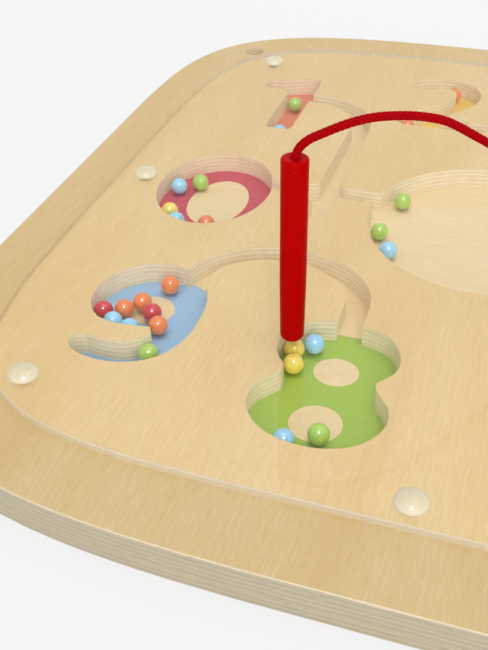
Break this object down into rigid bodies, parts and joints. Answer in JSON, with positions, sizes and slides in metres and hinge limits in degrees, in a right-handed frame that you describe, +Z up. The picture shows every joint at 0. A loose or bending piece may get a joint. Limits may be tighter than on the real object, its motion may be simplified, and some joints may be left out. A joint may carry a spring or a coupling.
{
  "type": "counting sorting board",
  "caption": "Rounded-square plywood board with number-shaped pockets joined by lanes to a round tray, under a clear cover, with painted beads and a magnetic wand on a cord.",
  "frame": {"origin": "under the middle of the board, on the surface that it lies on", "axes": "+Z up out of the cover, +Y from the front edge to the back edge, +X to the right as the numbers are read"},
  "size_m": [0.4368, 0.458, 0.1131],
  "materials": {
    "base_ply": "sealed birch plywood, printed numbers",
    "maze_ply": "sealed birch plywood",
    "clear_cover": "clear acrylic",
    "screw_steel": "plated",
    "cap_cream": "moulded cream dome",
    "wand_red": "moulded",
    "magnet_steel": "plated",
    "cord_red": "braided",
    "bead_red": "lacquered",
    "bead_orange": "lacquered",
    "bead_yellow": "lacquered",
    "bead_green": "lacquered",
    "bead_blue": "lacquered"
  },
  "bodies": {
    "board": {"base_panel": "base_ply", "maze_panel": "maze_ply", "cover_sheet": "clear_cover", "cover_screw_1": "screw_steel", "cover_screw_2": "screw_steel", "cover_screw_3": "screw_steel", "cover_screw_4": "screw_steel", "cover_screw_5": "screw_steel", "cover_screw_6": "screw_steel", "cover_screw_7": "screw_steel", "cover_screw_8": "screw_steel", "screw_cap_1": "cap_cream", "screw_cap_2": "cap_cream", "screw_cap_3": "cap_cream", "screw_cap_4": "cap_cream", "screw_cap_5": "cap_cream", "screw_cap_6": "cap_cream", "screw_cap_7": "cap_cream", "screw_cap_8": "cap_cream", "board_knot": "cord_red"},
    "wand": {"wand_tube": "wand_red", "wand_cap": "wand_red", "wand_magnet": "magnet_steel", "wand_knot": "cord_red", "tether_cord": "cord_red"},
    "bead_zero_1": {"bead_zero_1": "bead_blue"},
    "bead_zero_2": {"bead_zero_2": "bead_green"},
    "bead_zero_3": {"bead_zero_3": "bead_yellow"},
    "bead_zero_4": {"bead_zero_4": "bead_blue"},
    "bead_zero_5": {"bead_zero_5": "bead_orange"},
    "bead_one_1": {"bead_one_1": "bead_green"},
    "bead_one_2": {"bead_one_2": "bead_blue"},
    "bead_two_1": {"bead_two_1": "bead_orange"},
    "bead_two_2": {"bead_two_2": "bead_orange"},
    "bead_three_1": {"bead_three_1": "bead_yellow"},
    "bead_four_1": {"bead_four_1": "bead_blue"},
    "bead_four_2": {"bead_four_2": "bead_red"},
    "bead_five_1": {"bead_five_1": "bead_orange"},
    "bead_five_2": {"bead_five_2": "bead_green"},
    "bead_six_1": {"bead_six_1": "bead_red"},
    "bead_seven_1": {"bead_seven_1": "bead_yellow"},
    "bead_eight_1": {"bead_eight_1": "bead_yellow"},
    "bead_eight_2": {"bead_eight_2": "bead_yellow"},
    "bead_eight_3": {"bead_eight_3": "bead_blue"},
    "bead_eight_4": {"bead_eight_4": "bead_blue"},
    "bead_eight_5": {"bead_eight_5": "bead_green"},
    "bead_nine_1": {"bead_nine_1": "bead_red"},
    "bead_nine_2": {"bead_nine_2": "bead_orange"},
    "bead_nine_3": {"bead_nine_3": "bead_orange"},
    "bead_nine_4": {"bead_nine_4": "bead_red"},
    "bead_nine_5": {"bead_nine_5": "bead_orange"},
    "bead_nine_6": {"bead_nine_6": "bead_blue"},
    "bead_nine_7": {"bead_nine_7": "bead_blue"},
    "bead_nine_8": {"bead_nine_8": "bead_orange"},
    "bead_nine_9": {"bead_nine_9": "bead_green"},
    "bead_tray_1": {"bead_tray_1": "bead_green"},
    "bead_tray_2": {"bead_tray_2": "bead_green"},
    "bead_tray_3": {"bead_tray_3": "bead_blue"},
    "bead_tray_4": {"bead_tray_4": "bead_orange"},
    "bead_tray_5": {"bead_tray_5": "bead_blue"}
  },
  "joints": [
    {"name": "wand_lift", "type": "slide", "parent": "board", "child": "wand", "axis": [0, 0, 1], "range_m": [0, 0.12], "deforming": ["tether_cord"]},
    {"name": "bead_zero_1_roll", "type": "slide", "parent": "board", "child": "bead_zero_1", "axis": [0.866, -0.5, 0], "range_m": [0, 0.026]},
    {"name": "bead_zero_2_roll", "type": "slide", "parent": "board", "child": "bead_zero_2", "axis": [1, 0, 0], "range_m": [0, 0.026]},
    {"name": "bead_zero_3_roll", "type": "slide", "parent": "board", "child": "bead_zero_3", "axis": [0.9848, 0.1736, 0], "range_m": [0, 0.026]},
    {"name": "bead_zero_4_roll", "type": "slide", "parent": "board", "child": "bead_zero_4", "axis": [0.9397, -0.342, 0], "range_m": [0, 0.008]},
    {"name": "bead_zero_5_roll", "type": "slide", "parent": "board", "child": "bead_zero_5", "axis": [0.9397, 0.342, 0], "range_m": [0, 0.013]},
    {"name": "bead_one_1_roll", "type": "slide", "parent": "board", "child": "bead_one_1", "axis": [0, -1, 0], "range_m": [0, 0.026]},
    {"name": "bead_one_2_roll", "type": "slide", "parent": "board", "child": "bead_one_2", "axis": [0.5, 0.866, 0], "range_m": [0, 0.0065]},
    {"name": "bead_two_1_roll", "type": "slide", "parent": "board", "child": "bead_two_1", "axis": [-1, 0, 0], "range_m": [0, 0.0185]},
    {"name": "bead_two_2_roll", "type": "slide", "parent": "board", "child": "bead_two_2", "axis": [1, 0, 0], "range_m": [0, 0.026]},
    {"name": "bead_three_1_roll", "type": "slide", "parent": "board", "child": "bead_three_1", "axis": [-0.2588, 0.9659, 0], "range_m": [0, 0.026]},
    {"name": "bead_four_1_roll", "type": "slide", "parent": "board", "child": "bead_four_1", "axis": [-0.766, -0.6428, 0], "range_m": [0, 0.026]},
    {"name": "bead_four_2_roll", "type": "slide", "parent": "board", "child": "bead_four_2", "axis": [0.0872, 0.9962, 0], "range_m": [0, 0.026]},
    {"name": "bead_five_1_roll", "type": "slide", "parent": "board", "child": "bead_five_1", "axis": [-0.5, 0.866, 0], "range_m": [0, 0.0205]},
    {"name": "bead_five_2_roll", "type": "slide", "parent": "board", "child": "bead_five_2", "axis": [0.8192, 0.5736, 0], "range_m": [0, 0.02]},
    {"name": "bead_six_1_roll", "type": "slide", "parent": "board", "child": "bead_six_1", "axis": [-0.5736, 0.8192, 0], "range_m": [0, 0.026]},
    {"name": "bead_seven_1_roll", "type": "slide", "parent": "board", "child": "bead_seven_1", "axis": [0.4226, 0.9063, 0], "range_m": [0, 0.026]},
    {"name": "bead_eight_1_roll", "type": "slide", "parent": "board", "child": "bead_eight_1", "axis": [-0.5, -0.866, 0], "range_m": [0, 0.001]},
    {"name": "bead_eight_2_roll", "type": "slide", "parent": "board", "child": "bead_eight_2", "axis": [1, 0, 0], "range_m": [0, 0.026]},
    {"name": "bead_eight_3_roll", "type": "slide", "parent": "board", "child": "bead_eight_3", "axis": [1, 0, 0], "range_m": [0, 0.026]},
    {"name": "bead_eight_4_roll", "type": "slide", "parent": "board", "child": "bead_eight_4", "axis": [0.2588, 0.9659, 0], "range_m": [0, 0.026]},
    {"name": "bead_eight_5_roll", "type": "slide", "parent": "board", "child": "bead_eight_5", "axis": [0.4226, 0.9063, 0], "range_m": [0, 0.026]},
    {"name": "bead_nine_1_roll", "type": "slide", "parent": "board", "child": "bead_nine_1", "axis": [-0.1736, 0.9848, 0], "range_m": [0, 0.001]},
    {"name": "bead_nine_2_roll", "type": "slide", "parent": "board", "child": "bead_nine_2", "axis": [0.8192, -0.5736, 0], "range_m": [0, 0.0025]},
    {"name": "bead_nine_3_roll", "type": "slide", "parent": "board", "child": "bead_nine_3", "axis": [0.8192, 0.5736, 0], "range_m": [0, 0.0245]},
    {"name": "bead_nine_4_roll", "type": "slide", "parent": "board", "child": "bead_nine_4", "axis": [0.8192, 0.5736, 0], "range_m": [0, 0.02]},
    {"name": "bead_nine_5_roll", "type": "slide", "parent": "board", "child": "bead_nine_5", "axis": [0.6428, -0.766, 0], "range_m": [0, 0.018]},
    {"name": "bead_nine_6_roll", "type": "slide", "parent": "board", "child": "bead_nine_6", "axis": [-0.9397, -0.342, 0], "range_m": [0, 0.002]},
    {"name": "bead_nine_7_roll", "type": "slide", "parent": "board", "child": "bead_nine_7", "axis": [0.1736, 0.9848, 0], "range_m": [0, 0.005]},
    {"name": "bead_nine_8_roll", "type": "slide", "parent": "board", "child": "bead_nine_8", "axis": [-0.8192, -0.5736, 0], "range_m": [0, 0.026]},
    {"name": "bead_nine_9_roll", "type": "slide", "parent": "board", "child": "bead_nine_9", "axis": [-0.2588, -0.9659, 0], "range_m": [0, 0.008]},
    {"name": "bead_tray_1_roll", "type": "slide", "parent": "board", "child": "bead_tray_1", "axis": [1, 0, 0], "range_m": [0, 0.026]},
    {"name": "bead_tray_2_roll", "type": "slide", "parent": "board", "child": "bead_tray_2", "axis": [1, 0, 0], "range_m": [0, 0.026]},
    {"name": "bead_tray_3_roll", "type": "slide", "parent": "board", "child": "bead_tray_3", "axis": [1, 0, 0], "range_m": [0, 0.026]},
    {"name": "bead_tray_4_roll", "type": "slide", "parent": "board", "child": "bead_tray_4", "axis": [0.766, 0.6428, 0], "range_m": [0, 0.026]},
    {"name": "bead_tray_5_roll", "type": "slide", "parent": "board", "child": "bead_tray_5", "axis": [1, 0, 0], "range_m": [0, 0.026]}
  ]
}
